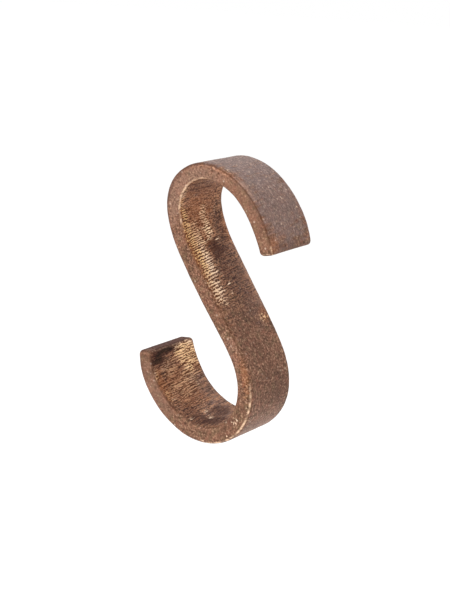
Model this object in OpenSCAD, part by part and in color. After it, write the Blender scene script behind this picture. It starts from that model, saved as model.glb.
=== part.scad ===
// S hook: one flat bar with rounded edges, bent into two open hooks that face opposite ways.
// The upper hook hangs on a rail and the lower one carries the load. From the straight spine,
// each half of the bar turns through a shoulder, round its seat, and along an arm to its tip.
// +Z is up and +Y runs along the rail. The origin is the centre of the rail's seat, and the
// centre of the load's seat hangs straight below it.

/* [Bar] */
// Width of the flat bar, along the rail
bar_w = 25; // [12:0.5:50]
// Thickness of the flat bar
bar_t = 6; // [4:0.5:9]
// Rounding of the bar's long edges and of its two square-cut ends
edge_r = 1.5; // [0.5:0.1:1.9]

/* [Spine] */
// Length of the straight run between the two shoulders
spine_len = 40; // [25:1:80]

/* [Upper hook] */
// Inside radius of the shoulder between the spine and the rail's seat
upper_shoulder_r = 32; // [20:1:60]
// Turn of the upper shoulder, in degrees
upper_shoulder_turn = 24; // [10:1:35]
// Radius of the rail's seat
rail_seat_r = 10.5; // [8:0.5:16]
// Turn of the bar round the rail's seat, in degrees
rail_seat_turn = 112; // [109:1:125]
// Inside radius of the upper arm, next to the seat
upper_arm_r = 24; // [18:1:40]
// Turn of the upper arm, in degrees
upper_arm_turn = 33; // [15:1:45]
// Inside radius of the upper arm's flatter stretch, up to its tip
upper_tip_r = 32; // [20:1:60]
// Turn of that stretch, in degrees
upper_tip_turn = 33.5; // [12:0.5:40]

/* [Lower hook] */
// Inside radius of the shoulder between the spine and the load's seat
lower_shoulder_r = 20; // [14:1:40]
// Turn of the lower shoulder, in degrees
lower_shoulder_turn = 40; // [20:1:50]
// Radius of the load's seat
load_seat_r = 15.5; // [10:0.5:24]
// Turn of the bar round the load's seat, in degrees
load_seat_turn = 112; // [109:1:125]
// Inside radius of the lower arm, next to the seat
lower_arm_r = 31; // [20:1:50]
// Turn of the lower arm, in degrees
lower_arm_turn = 30; // [15:1:40]
// Inside radius of the lower arm's rounder stretch, up to its tip
lower_tip_r = 25; // [18:1:50]
// Turn of that stretch, in degrees
lower_tip_turn = 26; // [10:0.5:40]

/* [Hidden] */
$fn = 120;

// Bends of each half in order from the spine to the tip, each an inside radius and a turn
upper_bends = [
    [upper_shoulder_r, upper_shoulder_turn],
    [rail_seat_r, rail_seat_turn],
    [upper_arm_r, upper_arm_turn],
    [upper_tip_r, upper_tip_turn]
];
lower_bends = [
    [lower_shoulder_r, lower_shoulder_turn],
    [load_seat_r, load_seat_turn],
    [lower_arm_r, lower_arm_turn],
    [lower_tip_r, lower_tip_turn]
];
// Place of the seat in each list
seat = 1;

// Flats of the bar's section between its rounded edges
flat_t = bar_t - 2 * edge_r;
flat_w = bar_w - 2 * edge_r;

// Least play beside the bar's faces where its ends are rounded
least_play = 0.02;

// Radius of a bend at the middle of the bar's thickness
function middle_r(bend) = bend[0] + bar_t / 2;

// Turn of the bar, clockwise from the front, between the spine and bend i
function turn_before(bends, i) = i == 0 ? 0 : turn_before(bends, i - 1) + bends[i - 1][1];

// Direction [x, z] from the middle of the bar to the inside of its bend after a turn
function inward(turn) = [cos(turn), -sin(turn)];

// Middle of the bar [x, z] where bend i starts, with the spine upright about the origin
function bend_start(bends, i) =
    i == 0 ? [0, spine_len / 2]
    : bend_centre(bends, i - 1) - middle_r(bends[i - 1]) * inward(turn_before(bends, i));

// Centre [x, z] of bend i
function bend_centre(bends, i) =
    bend_start(bends, i) + middle_r(bends[i]) * inward(turn_before(bends, i));

// Centres of the two seats beside the upright spine, and the spine's lean once one hangs
// straight below the other
rail_seat = bend_centre(upper_bends, seat);
load_seat = -bend_centre(lower_bends, seat);
seat_line = rail_seat - load_seat;
spine_lean = atan2(seat_line.x, seat_line.y);

// Moves to a place [x, z] in two steps, whole thousandths first, so that neighbouring bends meet
// exactly even where each step is held to six digits
module at(place) {
    coarse = [round(place.x * 1000), round(place.y * 1000)] / 1000;
    fine = place - coarse;
    translate([coarse.x, 0, coarse.y])
        translate([fine.x, 0, fine.y])
            children();
}

// Section of the bar: thickness along X, width along Y
module bar_section() {
    square([bar_t, flat_w], center = true);
    square([flat_t, bar_w], center = true);
    for (x = [-1, 1], y = [-1, 1])
        translate([x * flat_t / 2, y * flat_w / 2])
            circle(edge_r);
}

// Bend i of a half
module bend(bends, i) {
    at(bend_centre(bends, i))
        rotate([90, 0, 0])
            rotate_extrude(angle = bends[i][1], start = 180 - turn_before(bends, i + 1))
                translate([middle_r(bends[i]), 0])
                    bar_section();
}

// Outline of a bar's rounded end: a strip that stops at the X axis. The strip is wider than the
// bar by the play on each side, and its rounds keep their centres.
module end_outline(width, play) {
    flat = width - 2 * edge_r;
    depth = 4 * edge_r;
    translate([-width / 2 - play, -depth])
        square([width + 2 * play, depth - edge_r]);
    translate([-flat / 2, -depth])
        square([flat, depth + play]);
    for (side = [-1, 1])
        translate([side * flat / 2, -edge_r])
            circle(edge_r + play);
}

// What rounding takes off a bar that comes up to the origin: a block over its end, less the
// space that the rounded end fills
module end_waste(play) {
    below = 1.5 * edge_r;
    above = 2 * play;
    difference() {
        translate([-bar_t, -bar_w, -below])
            cube([2 * bar_t, 2 * bar_w, below + above]);
        intersection() {
            rotate([90, 0, 0])
                linear_extrude(3 * bar_w, center = true)
                    end_outline(bar_t, play);
            rotate([90, 0, 90])
                linear_extrude(3 * bar_t, center = true)
                    end_outline(bar_w, play);
        }
    }
}

// Half of the hook beyond the upright spine. The play clears the last bend's curve over the
// length of its rounding, so that the rounds cut its faces cleanly.
module half(bends) {
    count = len(bends);
    play = least_play + edge_r * edge_r / (2 * middle_r(bends[count - 1]));
    difference() {
        union() {
            for (i = [0 : count - 1])
                bend(bends, i);
        }
        at(bend_start(bends, count))
            rotate([0, turn_before(bends, count), 0])
                end_waste(play);
    }
}

// The hook, leaned so that its two seats hang in line
module hook() {
    color([0.43, 0.30, 0.23])
        rotate([0, -spine_lean, 0])
            translate([-rail_seat.x, 0, -rail_seat.y]) {
                linear_extrude(spine_len, center = true)
                    bar_section();
                half(upper_bends);
                rotate([0, 180, 0])
                    half(lower_bends);
            }
}

hook();
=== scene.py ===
"""Look of the S hook: a flat bar of aged copper-brown metal, bent into two open hooks.

The bar is swept along the same line as the CAD part, with the file marks, waviness and softened
edges of a hand-finished casting, and stands for the CAD node.
"""
import math
from collections import namedtuple

import bmesh
import bpy
import numpy as np
from mathutils import Matrix, Vector, noise


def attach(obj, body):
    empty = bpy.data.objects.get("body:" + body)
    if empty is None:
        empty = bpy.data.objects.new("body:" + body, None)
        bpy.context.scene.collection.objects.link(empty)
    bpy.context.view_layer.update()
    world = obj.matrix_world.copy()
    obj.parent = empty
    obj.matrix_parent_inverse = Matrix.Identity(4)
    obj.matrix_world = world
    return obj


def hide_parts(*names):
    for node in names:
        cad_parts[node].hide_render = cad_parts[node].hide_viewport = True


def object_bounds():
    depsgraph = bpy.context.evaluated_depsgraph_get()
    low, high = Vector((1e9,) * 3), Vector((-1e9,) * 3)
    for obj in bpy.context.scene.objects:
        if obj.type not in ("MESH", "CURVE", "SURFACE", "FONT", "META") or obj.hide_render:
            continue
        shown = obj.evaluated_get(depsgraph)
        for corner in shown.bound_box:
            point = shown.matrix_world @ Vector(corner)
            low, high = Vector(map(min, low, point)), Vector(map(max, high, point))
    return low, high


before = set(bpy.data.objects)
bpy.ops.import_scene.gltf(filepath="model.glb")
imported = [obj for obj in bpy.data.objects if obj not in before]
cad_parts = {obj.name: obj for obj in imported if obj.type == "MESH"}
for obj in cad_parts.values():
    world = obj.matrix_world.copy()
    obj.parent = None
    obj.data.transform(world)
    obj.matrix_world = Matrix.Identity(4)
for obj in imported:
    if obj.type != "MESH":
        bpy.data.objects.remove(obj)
cad_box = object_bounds()

MM = 0.001
QUARTER = math.pi / 2

# The bar and its bends, in mm and degrees, as in the part's source: inside radius and turn of
# each bend, in order from the spine to the tip
BAR_W = 25.0
BAR_T = 6.0
EDGE_R = 1.5
SPINE_LEN = 40.0
UPPER_BENDS = ((32.0, 24.0), (10.5, 112.0), (24.0, 33.0), (32.0, 33.5))
LOWER_BENDS = ((20.0, 40.0), (15.5, 112.0), (31.0, 30.0), (25.0, 26.0))
SEAT = 1

# Mesh of the bar: distance between rings, segments round its section, rings round the edge of
# each end and over its flat, and how close points are when they are joined
RING_STEP = 0.235
WIDE_SEGMENTS = 22
THIN_SEGMENTS = 4
CORNER_SEGMENTS = 8
END_RINGS = 6
CAP_RINGS = 3
WELD_M = 1e-7


# ---------------------------------------------------------------- the bar's line

def inward(turned):
    """Direction [x, z] from the bar to the inside of its bend, after a turn in degrees."""
    angle = math.radians(turned)
    return np.array([math.cos(angle), -math.sin(angle)])


def bend_arcs(bends):
    """Each bend as (length before it, middle radius, turn before it, centre [x, z]), and the
    length of them all."""
    place, turned, length, arcs = np.array([0.0, SPINE_LEN / 2]), 0.0, 0.0, []
    for inside_r, turn in bends:
        middle_r = inside_r + BAR_T / 2
        centre = place + middle_r * inward(turned)
        arcs.append((length, middle_r, turned, centre))
        length += middle_r * math.radians(turn)
        turned += turn
        place = centre - middle_r * inward(turned)
    return arcs, length


UPPER_ARCS, UPPER_LEN = bend_arcs(UPPER_BENDS)
LOWER_ARCS, LOWER_LEN = bend_arcs(LOWER_BENDS)
S_TOP = SPINE_LEN / 2 + UPPER_LEN
S_BOTTOM = -SPINE_LEN / 2 - LOWER_LEN
RAIL_SEAT = UPPER_ARCS[SEAT][-1]
LOAD_SEAT = -LOWER_ARCS[SEAT][-1]
LEAN = math.atan2(*(RAIL_SEAT - LOAD_SEAT))


def upright_line(s):
    """Middle of the bar [x, z] and its right-hand normal at a signed distance from the spine's
    middle, with the spine upright about the origin."""
    side = 1.0 if s >= 0 else -1.0
    arcs = UPPER_ARCS if s >= 0 else LOWER_ARCS
    along = abs(s) - SPINE_LEN / 2
    if along <= 0:
        return np.array([0.0, s]), np.array([1.0, 0.0])
    length, middle_r, turned, centre = [arc for arc in arcs if arc[0] <= along][-1]
    normal = inward(turned + math.degrees((along - length) / middle_r))
    return side * (centre - middle_r * normal), normal


def leaned(vector):
    """[x, z] with the spine leaned so that one seat hangs straight below the other."""
    x, z = vector
    return np.array([x * math.cos(LEAN) - z * math.sin(LEAN),
                     x * math.sin(LEAN) + z * math.cos(LEAN)])


def bar_line(s):
    """Middle of the bar [x, z], its right-hand normal and its heading, in the part's frame."""
    place, normal = upright_line(s)
    normal = leaned(normal)
    return leaned(place - RAIL_SEAT), normal, np.array([-normal[1], normal[0]])


# ---------------------------------------------------------------- the bar's section and rings

# Distance along the bar, share of the edge's radius that still stands out there, share of it that
# points along the bar, and how far the ring has shrunk towards the bar's middle
Ring = namedtuple("Ring", "s out ahead shrink")


def section_points():
    """Section as rows (su, sv, nu, nv): a place on the rectangle through the corners' centres,
    from -1 to 1 each way, and the outward direction there. u runs through the thickness."""
    rows = []
    corners = ((1, -1), (1, 1), (-1, 1), (-1, -1))
    for i, (su, sv) in enumerate(corners):
        start = (i - 1) * QUARTER
        for k in range(CORNER_SEGMENTS):
            angle = start + QUARTER * k / CORNER_SEGMENTS
            rows.append((su, sv, math.cos(angle), math.sin(angle)))
        next_su, next_sv = corners[(i + 1) % len(corners)]
        nu, nv = math.cos(start + QUARTER), math.sin(start + QUARTER)
        count = THIN_SEGMENTS if i % 2 else WIDE_SEGMENTS
        for k in range(count):
            share = k / count
            rows.append((su + (next_su - su) * share, sv + (next_sv - sv) * share, nu, nv))
    return rows


def ring_plan():
    """Rings from the lower tip to the upper one."""
    count = int((S_TOP - S_BOTTOM - 2 * EDGE_R) / RING_STEP)
    body = np.linspace(S_BOTTOM + EDGE_R, S_TOP - EDGE_R, count).tolist()
    angles = [QUARTER * k / END_RINGS for k in range(1, END_RINGS + 1)]
    tip = [(math.cos(angle), math.sin(angle), 0.0) for angle in angles]
    tip += [(0.0, 1.0, k / CAP_RINGS) for k in range(1, CAP_RINGS + 1)]
    upper = [Ring(body[-1] + EDGE_R * ahead, out, ahead, shrink) for out, ahead, shrink in tip]
    lower = [Ring(body[0] - EDGE_R * ahead, out, -ahead, shrink) for out, ahead, shrink in tip]
    return lower[::-1] + [Ring(s, 1.0, 0.0, 0.0) for s in body] + upper


# ---------------------------------------------------------------- the bar's relief

# How far the hand-finished surface stands out from the plain bar, in mm, at distances along it:
# distance, right side's front and back edges, left side's front and back edges
SURFACE = (
    (-102.7, 0.0, -0.3, 0.2, 0.4),
    (-98.0, 0.6, -0.4, -0.3, 1.0),
    (-92.0, 0.95, -0.6, -0.6, 1.25),
    (-84.0, 0.9, -0.5, -0.6, 0.9),
    (-78.0, 0.75, -0.4, -0.4, 0.95),
    (-72.0, 0.3, 0.0, 0.0, 1.3),
    (-66.0, 0.0, 0.0, 0.1, 1.3),
    (-60.0, 0.05, 0.1, 0.1, 0.9),
    (-54.0, 0.2, 0.55, 0.0, 0.4),
    (-48.0, 0.4, 0.4, 0.2, 0.1),
    (-40.0, 0.2, 0.4, 0.35, 0.0),
    (-33.0, 0.1, 0.0, 0.15, 0.0),
    (-25.0, 0.0, -0.4, 0.2, 0.0),
    (-19.0, 0.0, -0.2, -0.2, 0.0),
    (-14.0, 0.0, 0.0, -0.35, 0.0),
    (-8.0, 0.0, 0.1, -0.1, 0.0),
    (0.0, 0.0, 0.0, 0.35, 0.1),
    (8.0, 0.0, -0.05, 0.5, 0.1),
    (16.0, 0.0, 0.0, 0.4, 0.1),
    (24.0, 0.1, 0.3, 0.1, 0.1),
    (32.0, 0.1, 0.25, 0.2, 0.1),
    (38.0, 0.1, 0.4, 0.35, 0.1),
    (45.0, 0.1, 0.2, 0.55, 0.1),
    (52.0, 0.0, 0.0, 0.1, 0.0),
    (58.0, -0.2, 0.0, -0.1, -0.2),
    (66.0, -0.55, 0.0, 0.0, 0.1),
    (72.0, -0.5, -0.1, 0.0, -0.1),
    (78.0, -0.15, -0.2, 0.0, -0.2),
    (85.0, 0.1, -0.1, 0.0, -0.1),
    (91.0, 0.05, 0.0, 0.0, 0.0),
    (97.1, -0.5, -0.2, -0.2, -0.3),
)
# Shifts along the bar, in mm, over which the table is averaged
SURFACE_EASE = (-3.0, -1.5, 0.0, 1.5, 3.0)

# Size and height, in mm, of the waves and lumps of the cast surface, the height of the file marks,
# and how far the front and back faces lie in to leave room for them
WAVE_SIZE, WAVE_HEIGHT = 9.0, 0.07
LUMP_SIZE, LUMP_HEIGHT = 1.6, 0.035
STROKE_HEIGHT = 0.06
FACE_INSET = 0.1

# Where the file marks fade in: along the right and left faces, as the surface turns to face that
# way, and in mm from the front and back faces
FILED_RIGHT, FILED_LEFT = (-14, 2), (-38, -46)
FILED_RIGHT_TURN, FILED_LEFT_TURN = (0.7, 0.95), (0.85, 1.0)
FILED_MARGIN = (0.4, 1.6)
# Slant of the file marks on those faces, in mm along the bar for each mm across it, and how far
# they wander from it
SLANT_RIGHT, SLANT_LEFT = 0.11, -0.05
WANDER = 0.25
# Pitch of the even file marks inside the upper hook, how far it drifts, and where they become
# finer and by how much
COMB_PITCH, COMB_DRIFT = 1.15, 0.6
FINER_FROM, FINER_SHARE = 12.0, 0.26
# Relief of the even marks, where the patina covers them and what the bare patches add, of the
# uneven marks beside them, and of the broad and fine marks inside the lower hook
COMB_RELIEF, COMB_BARE_RELIEF, UNEVEN_RELIEF = 0.1, 0.35, 0.6
BROAD_RELIEF, FINE_RELIEF = 0.35, 0.35
# Shapes of the noise in the file marks: sizes along and across the bar, in mm, and the layer that
# keeps each apart from the others
WANDER_NOISE = (6.0, 8.0, 1.0)
UNEVEN_NOISE = (1.0, 2.0, 2.0)
DRIFT_NOISE = (4.5, 1.0, 3.0)
STREAK_NOISE = (0.9, 9.0, 4.0)
BROAD_NOISE = (1.1, 7.0, 7.0)
FINE_NOISE = (0.5, 3.5, 9.0)


def smooth(x, start, end):
    """0 at start and before it, 1 at end and beyond it, and a smooth step between."""
    t = min(max((x - start) / (end - start), 0.0), 1.0)
    return t * t * (3 - 2 * t)


def streaks(along, y, shape):
    """Noise from -1 to 1 along and across the bar, in one of the shapes above."""
    length, width, layer = shape
    return noise.noise(Vector((along / length, y / width, layer)))


def filed(s, y, nu):
    """How much of the file marks shows at a place of the surface, from 0 to 1."""
    right = smooth(s, *FILED_RIGHT) * smooth(nu, *FILED_RIGHT_TURN)
    left = smooth(s, *FILED_LEFT) * smooth(-nu, *FILED_LEFT_TURN)
    return (right + left) * smooth(BAR_W / 2 - abs(y), *FILED_MARGIN)


def stroke_place(s, y, nu):
    """Distance along the bar of the file mark through a place: the marks slant and wander."""
    slant = SLANT_RIGHT if nu > 0 else SLANT_LEFT
    return s - slant * y + WANDER * streaks(s, y, WANDER_NOISE)


def comb_phase(mark):
    """Angle along the uneven comb of file marks inside the upper hook."""
    mark += COMB_DRIFT * streaks(mark, 0.0, DRIFT_NOISE)
    return 2 * math.pi * (mark + FINER_SHARE * max(mark - FINER_FROM, 0)) / COMB_PITCH


def stroke(mark, y, nu, bare_and_highlight):
    """Relief of the file marks across the bar, about -1 to 1."""
    if nu > 0:
        comb = (COMB_RELIEF + COMB_BARE_RELIEF * bare_and_highlight) * math.cos(comb_phase(mark))
        return comb + UNEVEN_RELIEF * streaks(mark, y, UNEVEN_NOISE)
    return (BROAD_RELIEF * streaks(mark, y, BROAD_NOISE)
            + FINE_RELIEF * streaks(mark, y, FINE_NOISE))


def relief(place, nv, marks):
    """Height of the surface over the plain bar, in mm."""
    wave = WAVE_HEIGHT * noise.noise(place / WAVE_SIZE)
    lump = LUMP_HEIGHT * noise.noise(place / LUMP_SIZE)
    return wave + lump + STROKE_HEIGHT * marks - FACE_INSET * abs(nv)


def surface_offsets(distances):
    """Rows of the surface table at those distances, eased between its own."""
    table = np.array(SURFACE)
    eased = [np.mean([np.interp(distances + shift, table[:, 0], column) for shift in SURFACE_EASE],
                     axis=0)
             for column in table[:, 1:].T]
    return np.stack(eased, axis=1).tolist()


# ---------------------------------------------------------------- the bar's finish

# Faces of the bar, as directions through its thickness, across it and along it: the right one is
# inside the upper hook, the left one inside the lower hook
RIGHT, LEFT = (1, 0, 0), (-1, 0, 0)
FRONT, BACK = (0, -1, 0), (0, 1, 0)
LOWER_END, UPPER_END = (0, 0, -1), (0, 0, 1)

# Soft patches of each finish on each face: distance along the bar, place across that face, half
# length, half width and strength. The bare patches are bare metal with painted highlights on its
# bright marks, dark is tarnish and in some patches painted shade, warm is orange-brown, grey has
# grey flecks and on the upper hook's outer faces a painted grey sheen, calm has fainter marks and
# speckle, and pale is lighter, mostly as painted highlight and sheen.
PATCHES = {
    "bare_and_highlight": {
        # Inside the upper hook: a band of painted highlight along the file marks, and small painted
        # glints near it
        RIGHT: (
            (-10.7, 8.3, 1.9, 2.4, 0.75),
            (1.2, -2, 0.8, 0.9, 0.9),
            (4.8, -1.6, 0.9, 1, 1),
            (5, -9, 9, 4, 0.95),
            (14.5, -7.6, 10, 4.8, 1),
            (21.3, 3.5, 0.7, 1, 1),
            (24, -6.6, 8, 4, 0.6),
            (25.4, 0.5, 4.2, 2.5, 1),
            (26, -10.4, 13, 2.2, 0.9),
            (30, -0.5, 4, 2.2, 0.6),
            (34, 0.5, 2.5, 1.6, 0.6),
            (41, -11.4, 9, 1.2, 0.5),
        ),
        LEFT: (
            (-101.5, 9, 1.8, 3.5, 0.9),
            (-100.6, 4.2, 2.4, 3.2, 1),
            (-96.5, 6.2, 8, 6.6, 0.85),
            (-95.5, 10.8, 4.5, 2, 0.7),
            (-94, -4, 4, 5, 0.35),
            (-93, -11.3, 2.5, 1, 0.6),
            (-91.3, 6, 1.5, 2.2, 0.9),
            (-88, 4, 5, 6, 0.4),
            (-84, -10.6, 2.5, 1.4, 0.35),
            (-84, -2, 5, 8, 0.35),
            (-81.2, -9.5, 0.6, 0.9, 0.9),
            (-70.2, -1.5, 0.7, 1.2, 1),
            (-70, -10, 0.7, 1.1, 1),
            (-65.5, -3.2, 1.2, 1.4, 0.8),
            (66.3, -10.4, 1.6, 0.9, 0.5),
            (84.3, 9.2, 0.5, 0.6, 0.9),
            (96.4, -11.6, 1.5, 0.9, 1),
        ),
        # Small painted glints on the front face
        FRONT: (
            (-62.2, 1.8, 0.8, 0.8, 1),
            (-51.2, 1.6, 0.8, 0.8, 1),
            (-45.8, -0.2, 1, 0.7, 1),
            (-43.7, -0.4, 0.8, 1, 1),
            (-38, 1.8, 3, 0.8, 0.4),
            (-29, 1.6, 4, 0.9, 0.35),
        ),
    },
    "dark": {
        RIGHT: (
            (-33, 2, 9, 13, 0.2),
            (-21, -1, 5, 7, 0.15),
            (6, 3.4, 20, 7.6, 0.42),
            (18.2, 0.9, 4.2, 4.4, 0.7),
            (26, 7.5, 8, 3.5, 0.35),
            # Painted shade: the enclosed top of the upper hook's inside
            (44, 0, 4.5, 13, 0.25),
            (44.8, -3.5, 0.7, 7, 0.6),
            (48.6, -6, 0.8, 6, 0.6),
        ),
        LEFT: (
            (-101, -4.5, 2.6, 6.5, 1),
            (-99.3, -8.4, 4.8, 4, 1),
            (-79, 2, 3, 4, 0.25),
            (-73, -7, 5, 4, 0.4),
            (-66.5, -8, 5.5, 4.5, 0.65),
            (-66, 3.5, 5, 5.5, 0.65),
            (-62, -4.5, 5.5, 6.5, 0.8),
            # Painted shade: darker top of the upper hook's outer face, against the top lamp's light
            (52, 0, 9, 14, 0.14),
            (56, -12, 10, 2, 0.4),
            (97, -3, 3.5, 10, 0.3),
        ),
        FRONT: (
            (-95, 2.2, 5, 2, 0.25),
            (-46.5, -1.2, 2, 1.5, 0.4),
            (44, -2.8, 19, 1.3, 0.55),
        ),
        LOWER_END: (
            # Dark end face: partly tarnish, partly painted shade
            (-102.7, 0, 4, 16, 0.9),
        ),
    },
    "warm": {
        RIGHT: (
            (-10, 9, 4, 3.5, 0.6),
            (20, -10, 26, 3.4, 1),
            (24, 10.5, 7, 2.4, 0.6),
            (30, -4, 16, 9, 1),
            (42, 4, 10, 12, 0.5),
        ),
        LEFT: (
            (-96, 7, 9, 8, 0.7),
            (-88, -10.2, 9, 2.2, 0.8),
            (-86, -2, 12, 8, 0.5),
            (95, -10, 5, 3, 0.6),
        ),
        FRONT: (
            (-27, 1.2, 9, 1.8, 0.5),
            (56, -2.3, 12, 1.3, 0.4),
            (80, 1, 18, 2.6, 0.1),
        ),
    },
    "grey": {
        RIGHT: (
            (4, 6.5, 18, 8, 0.3),
        ),
        LEFT: (
            (-78, 9, 12, 5, 0.4),
            (-66, 2, 9, 11, 0.4),
            # Painted grey sheen, partly grey oxide, on the upper hook's outer faces
            (60, 2, 16, 16, 0.9),
            (80, 0, 20, 17, 0.7),
        ),
    },
    "calm": {
        RIGHT: (
            (-56, 0, 18, 18, 0.4),
            (2, 9, 14, 5.5, 0.8),
        ),
        LEFT: (
            (-77, 8.5, 13, 6, 0.9),
            (-64, 4, 7, 9, 0.6),
            (8, 0, 46, 18, 0.6),
            (80, 0, 28, 18, 1),
        ),
        FRONT: (
            (-92, 0, 22, 6, 1),
            (-54, 0, 22, 6, 0.6),
            (44, 0, 20, 6, 0.5),
            (78, 0, 22, 7, 0.9),
        ),
        BACK: (
            (0, 0, 130, 12, 0.65),
        ),
    },
    "pale": {
        RIGHT: (
            # Painted highlight: soft sheen under the bottom of the lower hook
            (-62, 0, 7, 16, 0.5),
            (-53, 8, 6, 7, 0.4),
            (8, 11.2, 20, 2.6, 1),
        ),
        LEFT: (
            # Painted highlight along the upper hook's front edge, on its outer face
            (73, -10.9, 5, 1.2, 1),
        ),
        FRONT: (
            (-87, 0, 12, 5, 0.4),
            # Painted highlight along the front face's edge near the top of the upper hook
            (-18, 0, 6, 4, 0.4),
            (44, 0, 17, 4.5, 0.8),
            (58, 0, 9, 4.5, 0.6),
            (78, 0.5, 18, 4, 0.3),
        ),
    },
}
# Stretches of the long edges, with a painted highlight on the crest (rim) or darker brown
# (umber): the two faces that meet there, distance, half length and strength
EDGES = {
    "rim": (
        # Painted highlight along these edge crests
        (RIGHT, FRONT, 46, 19, 0.95),
        (RIGHT, FRONT, -46, 17, 1.0),
        (LEFT, FRONT, 96, 2.2, 1.0),
        (FRONT, UPPER_END, 97, 2.0, 1.0),
        (LEFT, BACK, -80, 5, 0.6),
        (LEFT, LOWER_END, -102, 3, 0.3),
    ),
    "umber": (
        (RIGHT, FRONT, 4, 30, 0.9),
        (LEFT, FRONT, 22, 40, 0.5),
        (LEFT, FRONT, 47, 12, 1.0),
        (LEFT, UPPER_END, 97, 2.0, 0.9),
        (LEFT, FRONT, 72, 28, 1.0),
        (LEFT, FRONT, -87, 14, 0.8),
    ),
}
FINISHES = ("filed", "stroke", *EDGES, *PATCHES)

# A patch's outline wanders by this much of its size, over lumps of this size in mm and along the
# file marks. The patch comes in as the surface turns to its face, fades between these shares of
# its size, and ends within the last.
PATCH_WOBBLE, STREAK_WOBBLE = 0.35, 0.45
WOBBLE_SIZE = 3.0
PATCH_TURN = (0.3, 0.9)
PATCH_FADE = (0.5, 1.1)
PATCH_REACH = 1.6
# How sharply each edge's finish gathers on its crest, and where it fades along it
EDGE_CREST = {"rim": (0.82, 0.98), "umber": (0.88, 1.0)}
EDGE_FADE = (0.6, 1.1)


def facing(face, facet):
    """How far a facet of the bar turns the way a face does, up to 1."""
    return face[0] * facet[0] + face[1] * facet[1] + face[2] * facet[2]


def patched(name, s, u, y, facet, wobble):
    """Strength of a patchy finish at a place of the surface, from 0 to 1."""
    clear = 1.0
    for face, patches in PATCHES[name].items():
        turn = facing(face, facet)
        if turn <= PATCH_TURN[0]:
            continue
        across = u if face in (FRONT, BACK) else y
        for at_s, at, half_s, half, strength in patches:
            if abs(s - at_s) < PATCH_REACH * half_s:
                reach = math.hypot((s - at_s) / half_s, (across - at) / half) + wobble
                clear *= 1 - strength * smooth(turn, *PATCH_TURN) * (1 - smooth(reach, *PATCH_FADE))
    return 1 - clear


def edged(name, s, facet):
    """Strength of an edge's finish at a place of the surface, from 0 to 1."""
    most = 0.0
    for face, other, at_s, half_s, strength in EDGES[name]:
        turn, other_turn = facing(face, facet), facing(other, facet)
        if turn > 0 and other_turn > 0:
            crest = smooth(2 * turn * other_turn, *EDGE_CREST[name])
            most = max(most, crest * strength * (1 - smooth(abs(s - at_s) / half_s, *EDGE_FADE)))
    return most


# ---------------------------------------------------------------- the bar's mesh

def section_place(su, sv, shrink, offsets):
    """Place (u, y) on the rectangle through the corners' centres, moved by the surface's offsets
    and, over a flat end, by its shrink."""
    half_t, half_w = BAR_T / 2 - EDGE_R, BAR_W / 2 - EDGE_R
    u, y = su * half_t, sv * half_w
    if shrink:
        middle_y = min(max(y, half_t - half_w), half_w - half_t)
        u, y = u * (1 - shrink), y + (middle_y - y) * shrink
    right_front, right_back, left_front, left_back = offsets
    back = 0.5 + 0.5 * y / half_w
    right = right_front + (right_back - right_front) * back
    left = left_front + (left_back - left_front) * back
    return u + 0.5 * ((1 + su) * right - (1 - su) * left) * (1 - shrink), y


def surface_point(ring, line, offsets, spot):
    """A point of the bar's surface in metres, its place among the file marks, and its finish."""
    centre, normal, heading = line
    su, sv, nu, nv = spot
    facet = (nu * ring.out, nv * ring.out, ring.ahead)
    u, y = section_place(su, sv, ring.shrink, offsets)
    u += EDGE_R * facet[0]
    y += EDGE_R * facet[1]
    place = Vector((centre[0] + normal[0] * u, y, centre[1] + normal[1] * u))
    outward = Vector((normal[0] * facet[0] + heading[0] * facet[2], facet[1],
                      normal[1] * facet[0] + heading[1] * facet[2]))

    filing, mark = filed(ring.s, y, facet[0]), stroke_place(ring.s, y, facet[0])
    wobble = (PATCH_WOBBLE * noise.noise(place / WOBBLE_SIZE)
              + STREAK_WOBBLE * streaks(mark, y, STREAK_NOISE))
    finish = {name: patched(name, ring.s, u, y, facet, wobble) for name in PATCHES}
    finish.update((name, edged(name, ring.s, facet)) for name in EDGES)
    finish["filed"] = filing
    finish["stroke"] = filing * stroke(mark, y, nu, finish["bare_and_highlight"]) if filing > 0 else 0.0
    point = (place + outward * relief(place, facet[1], finish["stroke"])) * MM
    return point, (mark, y, comb_phase(mark)), finish


def bar_points():
    """Rings of the bar's surface, each a list of points as surface_point gives them."""
    plan, section, rings = ring_plan(), section_points(), []
    offsets = surface_offsets(np.array([ring.s for ring in plan]))
    for ring, row in zip(plan, offsets):
        line = bar_line(ring.s)
        rings.append([surface_point(ring, line, row, spot) for spot in section])
    return rings


def faces_between(ring_count, ring_size):
    """Four-sided faces between each ring and the next."""
    faces = []
    for i in range(ring_count - 1):
        this, after = i * ring_size, (i + 1) * ring_size
        for k in range(ring_size):
            n = (k + 1) % ring_size
            faces.append((this + k, this + n, after + n, after + k))
    return faces


def close_ends(mesh):
    """Join the points that meet where each end's last ring has shrunk to a line."""
    work = bmesh.new()
    work.from_mesh(mesh)
    bmesh.ops.remove_doubles(work, verts=work.verts, dist=WELD_M)
    work.to_mesh(mesh)
    work.free()


def build_bar():
    """The bar, held inside the CAD box, with its finish kept at its points for its material."""
    rings = bar_points()
    points, bars, finish = zip(*(point for ring in rings for point in ring))
    low, high = (np.array(corner) for corner in cad_box)
    mesh = bpy.data.meshes.new("bar")
    mesh.from_pydata(np.clip(np.array(points), low, high).tolist(), [],
                     faces_between(len(rings), len(rings[0])))
    layer = mesh.attributes.new("bar", "FLOAT_VECTOR", "POINT")
    layer.data.foreach_set("vector", np.array(bars, np.float32).ravel())
    for name in FINISHES:
        layer = mesh.attributes.new(name, "FLOAT", "POINT")
        layer.data.foreach_set("value", np.array([at[name] for at in finish], np.float32))
    close_ends(mesh)
    mesh.polygons.foreach_set("use_smooth", [True] * len(mesh.polygons))
    bar = bpy.data.objects.new("bar", mesh)
    bpy.context.scene.collection.objects.link(bar)
    return bar


# ---------------------------------------------------------------- node trees

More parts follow.
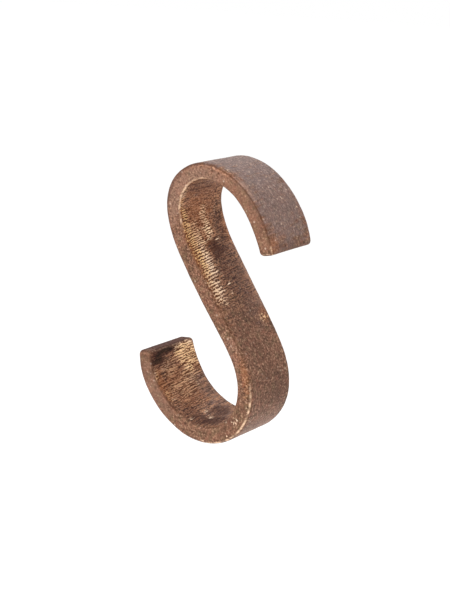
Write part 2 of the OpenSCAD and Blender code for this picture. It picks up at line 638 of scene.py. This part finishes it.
class Graph:
    """A node tree, with short calls to add and join its nodes."""

    def __init__(self, tree):
        self.tree = tree
        tree.nodes.clear()

    def put(self, socket, value):
        if isinstance(value, bpy.types.NodeSocket):
            self.tree.links.new(value, socket)
        else:
            socket.default_value = value

    def add(self, kind, values=None, **settings):
        node = self.tree.nodes.new("ShaderNode" + kind)
        for key, value in settings.items():
            setattr(node, key, value)
        for key, value in (values or {}).items():
            self.put(node.inputs[key], value)
        return node

    def attribute(self, name, output="Fac"):
        return self.add("Attribute", attribute_name=name).outputs[output]

    def math(self, operation, *values):
        node = self.add("Math", operation=operation)
        for socket, value in zip(node.inputs, values):
            self.put(socket, value)
        return node.outputs[0]

    def fold(self, operation, first, *others):
        for value in others:
            first = self.math(operation, first, value)
        return first

    def total(self, *values):
        return self.fold("ADD", *values)

    def product(self, *values):
        return self.fold("MULTIPLY", *values)

    def most(self, *values):
        return self.fold("MAXIMUM", *values)

    def blend(self, share, a, b):
        """Number a, or b as far as the share goes."""
        node = self.add("Mix", data_type="FLOAT", clamp_factor=True)
        for index, value in ((0, share), (2, a), (3, b)):
            self.put(node.inputs[index], value)
        return node.outputs[0]

    def mix(self, share, a, b):
        """Colour a, or b as far as the share goes."""
        node = self.add("Mix", data_type="RGBA", clamp_factor=True)
        for index, value in ((0, share), (6, a), (7, b)):
            self.put(node.inputs[index], value)
        return node.outputs[2]

    def paint(self, colour, *coats):
        """A colour under coats of (share, colour), each over the ones before it."""
        for share, coat in coats:
            colour = self.mix(share, colour, coat)
        return colour

    def spread(self, value, low, high, to_low=0.0, to_high=1.0):
        """A value's range low..high stretched to to_low..to_high, with smooth ends."""
        return self.add("MapRange", {"Value": value, "From Min": low, "From Max": high,
                                     "To Min": to_low, "To Max": to_high},
                        interpolation_type="SMOOTHSTEP").outputs[0]

    def noise(self, vector, scale, detail, roughness=0.55):
        return self.add("TexNoise", {"Vector": vector, "Scale": scale, "Detail": detail,
                                     "Roughness": roughness}).outputs["Fac"]

    def hairs(self, bar, waves, detail=1, roughness=0.55, shift=(0, 0, 0)):
        """Noise that follows the file marks, by its waves for each mm along and across the bar."""
        mapping = self.add("Mapping", {"Vector": bar, "Location": shift, "Scale": (*waves, 0)})
        return self.noise(mapping.outputs[0], 1.0, detail, roughness)


def new_material(name):
    material = bpy.data.materials.new(name)
    material.use_nodes = True
    return material, Graph(material.node_tree)


def srgb(red, green, blue):
    """A colour written as 0..255 screen values, as the shader's linear RGBA."""
    def linear(c):
        c /= 255
        return c / 12.92 if c <= 0.04045 else ((c + 0.055) / 1.055) ** 2.4
    return (linear(red), linear(green), linear(blue), 1.0)


# ---------------------------------------------------------------- the bar's metal

# Colours of the cast surface: its patina and tints, its patches, of which grey and pale are partly
# painted sheen and highlight, and its speckle
BROWN = srgb(152, 108, 84)
DEEP_BROWN = srgb(128, 90, 69)
OLIVE = srgb(130, 106, 76)
RUSSET = srgb(154, 98, 77)
COFFEE = srgb(94, 62, 44)
ORANGE = srgb(192, 116, 64)
GREY = srgb(134, 116, 113)
GREY_FLECK = srgb(180, 154, 144)
PALE = srgb(182, 144, 124)
DARK_GRAIN = srgb(62, 39, 28)
LIGHT_GRAIN = srgb(224, 178, 146)
DOT = srgb(226, 196, 174)
# Colours of the filed flats, the tarnish and painted shade, the painted highlight on bare metal,
# and the painted highlight and darker brown of the long edges
RIDGE = srgb(218, 158, 118)
GROOVE = srgb(64, 37, 28)
WARM_GROOVE = srgb(104, 58, 28)
STAIN_AND_SHADE = srgb(70, 39, 37)
TARNISH = srgb(48, 33, 27)
BARE_METAL_HIGHLIGHT = srgb(255, 221, 188)
GOLDEN = srgb(255, 208, 148)
UMBER = srgb(92, 52, 28)
EDGE_HIGHLIGHT = srgb(244, 206, 172)

# Noise of the cast surface, in waves for each metre
MOTTLE_WAVES = 170
TINT_WAVES = 430
BLOTCH_WAVES = 620
DOT_WAVES = 620
FLECK_WAVES = 900
GRAIN_WAVES = 1300
# How far each coat covers the patina at its fullest, and the grain's strength on a rough surface
# and on a calm one
WARM_COVER = 0.65
GREY_COVER = 0.85
PALE_COVER = 0.5
DOT_COVER = 0.6
DARK_COVER = 0.84
ROUGH_GRAIN, CALM_GRAIN = 0.85, 0.4
# How many more dots there are where it is grey
GREY_DOTS = 0.12

# Fine file marks, in waves for each mm along and across the bar: long and short hairs, and what
# bends the comb and breaks it into pieces
LONG_HAIR_WAVES = (2.5, 0.17)
SHORT_HAIR_WAVES = (2.8, 0.9)
BEND_WAVES = (0.8, 0.7)
BREAK_WAVES = (1.2, 1.0)
BREAK_SHIFT = (7, 3, 0)
# Strength of each in the lower hook and in the upper one. The bare patches show the comb and
# fewer short hairs in the lower hook, and the dark patches hide short hairs in the upper one.
LONG_LOWER, LONG_UPPER = 1.2, 0.7
SHORT_LOWER, SHORT_LOWER_BARE = 0.7, 0.25
SHORT_UPPER, SHORT_UPPER_DARK = 1.0, 0.3
COMB_LOWER, COMB_UPPER = 0.7, 1.0
COMB_COVERED, COMB_BARE = 0.12, 1.5
CALM_MARKS = 0.45
# What the bare patches add to the marks before the painted highlight shows on their ridges
HIGHLIGHT_LIFT = 0.35

# Gloss of the patina and of polished metal, what the dark patches add to the roughness, and the
# bump of the cast surface
SPECULAR = 0.3
PATINA_METALLIC, POLISHED_METALLIC = 0.45, 0.95
PATINA_ROUGHNESS, POLISHED_ROUGHNESS = (0.62, 0.46), 0.32
DARK_ROUGHNESS = 0.25
GRAIN_HEIGHT, BLOTCH_HEIGHT = 0.9, 0.8
BUMP_STRENGTH, BUMP_M = 0.6, 0.00015


def patina(g, place, blotch, grain, finish):
    """Brown of the cast surface, with its tints, patches, grain and pale dots."""
    warm, grey, pale = finish["warm"], finish["grey"], finish["pale"]
    mottle = g.noise(place, MOTTLE_WAVES, detail=3)
    tint = g.noise(place, TINT_WAVES, detail=2)
    fleck = g.noise(place, FLECK_WAVES, detail=1)
    grit = g.blend(finish["calm"], ROUGH_GRAIN, CALM_GRAIN)
    return g.paint(
        g.mix(g.spread(mottle, 0.32, 0.68), DEEP_BROWN, BROWN),
        (g.spread(tint, 0.52, 0.68, 0.0, 0.5), OLIVE),
        (g.spread(tint, 0.48, 0.34, 0.0, 0.45), RUSSET),
        (g.spread(blotch, 0.5, 0.7, 0.0, 0.6), COFFEE),
        (g.product(warm, WARM_COVER), ORANGE),
        # Grey: grey oxide, and on the upper hook's outer faces a painted grey sheen
        (g.product(grey, GREY_COVER), GREY),
        (g.product(grey, g.spread(fleck, 0.55, 0.75)), GREY_FLECK),
        # Pale: lighter tone, mostly painted highlight and sheen
        (g.product(pale, PALE_COVER), PALE),
        (g.product(grit, g.spread(grain, 0.53, 0.36)), DARK_GRAIN),
        (g.product(grit, g.spread(grain, 0.54, 0.68)), LIGHT_GRAIN),
        (g.product(dots(g, place, grey), DOT_COVER), DOT))


def dots(g, place, grey):
    """Share of small round dots on a few cells of the surface, on more of them where it is grey."""
    cells = g.add("TexVoronoi", {"Vector": place, "Scale": DOT_WAVES})
    chance = g.add("SeparateColor", {"Color": cells.outputs["Color"]}).outputs[0]
    chosen = g.spread(g.total(chance, g.product(grey, GREY_DOTS)), 0.84, 0.95)
    return g.product(g.spread(cells.outputs["Distance"], 0.30, 0.16), chosen)


def file_marks(g, bar, phase, upper, finish):
    """Ridges, above 0, and grooves, below 0, of the fine file marks. Inside the upper hook an even
    comb of them shows in the bare patches, under their painted highlight, bent and broken here and
    there."""
    bare_and_highlight, dark, calm = finish["bare_and_highlight"], finish["dark"], finish["calm"]
    bend = g.spread(g.hairs(bar, BEND_WAVES), 0.3, 0.7, -1.5, 1.5)
    pieces = g.spread(g.hairs(bar, BREAK_WAVES, shift=BREAK_SHIFT), 0.38, 0.58, 0.2, 1.4)
    comb = g.product(g.math("COSINE", g.total(phase, bend)), pieces,
                     g.blend(upper, COMB_LOWER, COMB_UPPER),
                     g.spread(bare_and_highlight, 0.0, 0.8, COMB_COVERED, COMB_BARE))
    long_hairs = g.product(g.spread(g.hairs(bar, LONG_HAIR_WAVES, 2, 0.65), 0.3, 0.7, -1, 1),
                           g.blend(upper, LONG_LOWER, LONG_UPPER))
    short_hairs = g.product(g.spread(g.hairs(bar, SHORT_HAIR_WAVES), 0.32, 0.68, -1, 1),
                            g.blend(upper, g.blend(bare_and_highlight, SHORT_LOWER, SHORT_LOWER_BARE),
                                    g.blend(dark, SHORT_UPPER, SHORT_UPPER_DARK)))
    return g.product(g.total(comb, long_hairs, short_hairs), g.blend(calm, 1.0, CALM_MARKS))


def filed_brown(g, brown, marks, finish):
    """Brown of the filed flats, with pale ridges and dark grooves."""
    groove = g.mix(g.most(finish["warm"], finish["bare_and_highlight"]), GROOVE, WARM_GROOVE)
    return g.paint(brown,
                   (g.spread(marks, -0.3, 1.2, 0.0, 0.75), RIDGE),
                   (g.spread(marks, 0.0, -1.15, 0.0, 0.95), groove))


def bare_highlight_colour(g, distance, across, upper, warm):
    """Colour of the painted highlight on bare metal: golden where it is warm, inside the upper hook
    only near the front edge and away from the spine."""
    near_front = g.spread(across, -6.0, -9.5, 0.4)
    off_spine = g.spread(distance, 3.0, 18.0, 0.25)
    golden = g.product(warm, g.blend(upper, 1.0, g.product(near_front, off_spine)))
    return g.mix(golden, BARE_METAL_HIGHLIGHT, GOLDEN)


def aged_metal():
    """Copper-brown patina over cast and filed metal, bare in patches, with painted highlights on
    the bare marks and edge crests and painted shade in some dark patches.
    """
    material, g = new_material("aged_copper_brown")
    place = g.add("TexCoord").outputs["Object"]
    blotch = g.noise(place, BLOTCH_WAVES, detail=3, roughness=0.6)
    grain = g.noise(place, GRAIN_WAVES, detail=4, roughness=0.75)
    finish = {name: g.attribute(name) for name in FINISHES}
    bare_and_highlight, dark, umber, rim = (finish[name] for name in ("bare_and_highlight", "dark", "umber", "rim"))
    bar = g.attribute("bar", "Vector")
    distance, across, phase = g.add("SeparateXYZ", {"Vector": bar}).outputs
    upper = g.spread(distance, -2.0, 2.0)

    fine_marks = g.blend(finish["filed"], g.spread(grain, 0.45, 0.65, -0.6, 1.2),
                         file_marks(g, bar, phase, upper, finish))
    marks = g.total(fine_marks, finish["stroke"])
    # Painted highlight: bright metal colour on the ridges of the file marks in the bare patches
    glint = g.product(bare_and_highlight, g.spread(g.total(marks, g.product(bare_and_highlight, HIGHLIGHT_LIFT)), 0.14, 0.76))
    # Painted highlight along the edge crests listed under rim
    edge = g.product(rim, g.spread(blotch, 0.35, 0.6, 1.0, 0.2))
    brown = patina(g, place, blotch, grain, finish)
    colour = g.paint(
        brown,
        (finish["filed"], filed_brown(g, brown, marks, finish)),
        # Tarnish, and in some patches painted shade
        (g.product(dark, DARK_COVER), g.mix(g.spread(dark, 0.9, 1.0), STAIN_AND_SHADE, TARNISH)),
        (glint, bare_highlight_colour(g, distance, across, upper, finish["warm"])),
        (g.product(umber, g.spread(blotch, 0.3, 0.6, 1.0, 0.6)), UMBER),
        (edge, EDGE_HIGHLIGHT))

    polish = g.most(glint, edge)
    height = g.total(g.product(grain, GRAIN_HEIGHT), g.product(blotch, BLOTCH_HEIGHT))
    bump = g.add("Bump", {"Height": height, "Strength": BUMP_STRENGTH, "Distance": BUMP_M})
    dull = g.total(g.spread(grain, 0.3, 0.7, *PATINA_ROUGHNESS), g.product(dark, DARK_ROUGHNESS))
    shader = g.add("BsdfPrincipled", {
        "Base Color": colour,
        "Metallic": g.blend(polish, PATINA_METALLIC, POLISHED_METALLIC),
        "Specular IOR Level": SPECULAR,
        "Roughness": g.blend(polish, dull, POLISHED_ROUGHNESS),
        "Normal": bump.outputs[0],
    })
    g.add("OutputMaterial", {"Surface": shader.outputs[0]})
    return material


# ---------------------------------------------------------------- studio

# Floor and background, white to the camera and in reflections: the floor's drop below the hook,
# half size, grey and own light, and the background's light on the hook
WHITE = (1.0, 1.0, 1.0, 1.0)
FLOOR_DROP = 0.25
FLOOR_HALF = 6.0
FLOOR_GREY = (0.85, 0.85, 0.85, 1.0)
FLOOR_ROUGHNESS = 0.9
FLOOR_LIFT = 0.55
WORLD_FILL = 0.55
LAMPS = (
    # name, place, side of the square lamp, watts
    ("key", (-0.55, -0.75, 0.60), 0.45, 6.0),
    ("right_fill", (0.80, -0.25, 0.15), 0.60, 0.6),
    ("top", (0.10, 0.15, 0.85), 0.60, 2.0),
)
# Camera: aimed at the spine's middle, in a view turned from the part's own by a small lean
CAMERA_AZIMUTH = 36.0
CAMERA_ELEVATION = 13.85
CAMERA_DISTANCE = 0.4801
CAMERA_LEAN = -1.68
CAMERA_LENS = 81.91
CAMERA_SHIFT = (-0.01015, -0.00354)
CAMERA_CLIP = (0.01, 100)


def white_share(g):
    """1 for the rays that show the background: camera, glossy and transmission rays."""
    rays = g.add("LightPath").outputs
    return g.most(rays["Is Camera Ray"], rays["Is Glossy Ray"], rays["Is Transmission Ray"])


def floor_material():
    """Pale floor that keeps its shadows and shows white where it has none."""
    material, g = new_material("pale_floor")
    shader = g.add("BsdfPrincipled", {
        "Base Color": FLOOR_GREY,
        "Roughness": FLOOR_ROUGHNESS,
        "Specular IOR Level": 0.0,
        "Emission Color": WHITE,
        "Emission Strength": g.product(white_share(g), FLOOR_LIFT),
    })
    g.add("OutputMaterial", {"Surface": shader.outputs[0]})
    return material


def build_floor():
    z = cad_box[0][2] - FLOOR_DROP
    corners = ((-1, -1), (1, -1), (1, 1), (-1, 1))
    mesh = bpy.data.meshes.new("floor")
    mesh.from_pydata([(x * FLOOR_HALF, y * FLOOR_HALF, z) for x, y in corners], [], [(0, 1, 2, 3)])
    mesh.materials.append(floor_material())
    floor = bpy.data.objects.new("floor", mesh)
    bpy.context.scene.collection.objects.link(floor)


def build_world():
    world = bpy.data.worlds.new("studio")
    world.use_nodes = True
    g = Graph(world.node_tree)
    background = g.add("Background", {"Color": WHITE,
                                      "Strength": g.blend(white_share(g), WORLD_FILL, 1.0)})
    g.add("OutputWorld", {"Surface": background.outputs[0]})
    bpy.context.scene.world = world


def build_lamps():
    aim = Vector((0, 0, 0.5 * (cad_box[0][2] + cad_box[1][2])))
    for name, place, side, watts in LAMPS:
        data = bpy.data.lights.new(name, "AREA")
        data.size = side
        data.energy = watts
        lamp = bpy.data.objects.new(name, data)
        lamp.location = aim + Vector(place)
        lamp.rotation_euler = Vector(place).to_track_quat("Z", "Y").to_euler()
        bpy.context.scene.collection.objects.link(lamp)


def build_camera():
    azimuth, elevation = math.radians(CAMERA_AZIMUTH), math.radians(CAMERA_ELEVATION)
    back = Vector((math.sin(azimuth) * math.cos(elevation),
                   -math.cos(azimuth) * math.cos(elevation), math.sin(elevation)))
    x, z = bar_line(0.0)[0]
    data = bpy.data.cameras.new("camera")
    data.lens = CAMERA_LENS
    data.shift_x, data.shift_y = CAMERA_SHIFT
    data.clip_start, data.clip_end = CAMERA_CLIP
    camera = bpy.data.objects.new("camera", data)
    camera.matrix_world = (Matrix.Translation((x * MM, 0, z * MM))
                           @ Matrix.Rotation(math.radians(CAMERA_LEAN), 4, "Y")
                           @ Matrix.Translation(back * CAMERA_DISTANCE)
                           @ back.to_track_quat("Z", "Y").to_matrix().to_4x4())
    bpy.context.scene.collection.objects.link(camera)
    bpy.context.scene.camera = camera


build_camera()
build_floor()
build_world()
build_lamps()

bar = build_bar()
bar.data.materials.append(aged_metal())
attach(bar, "root")
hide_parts("hook")

bpy.context.scene.view_settings.view_transform = "Standard"
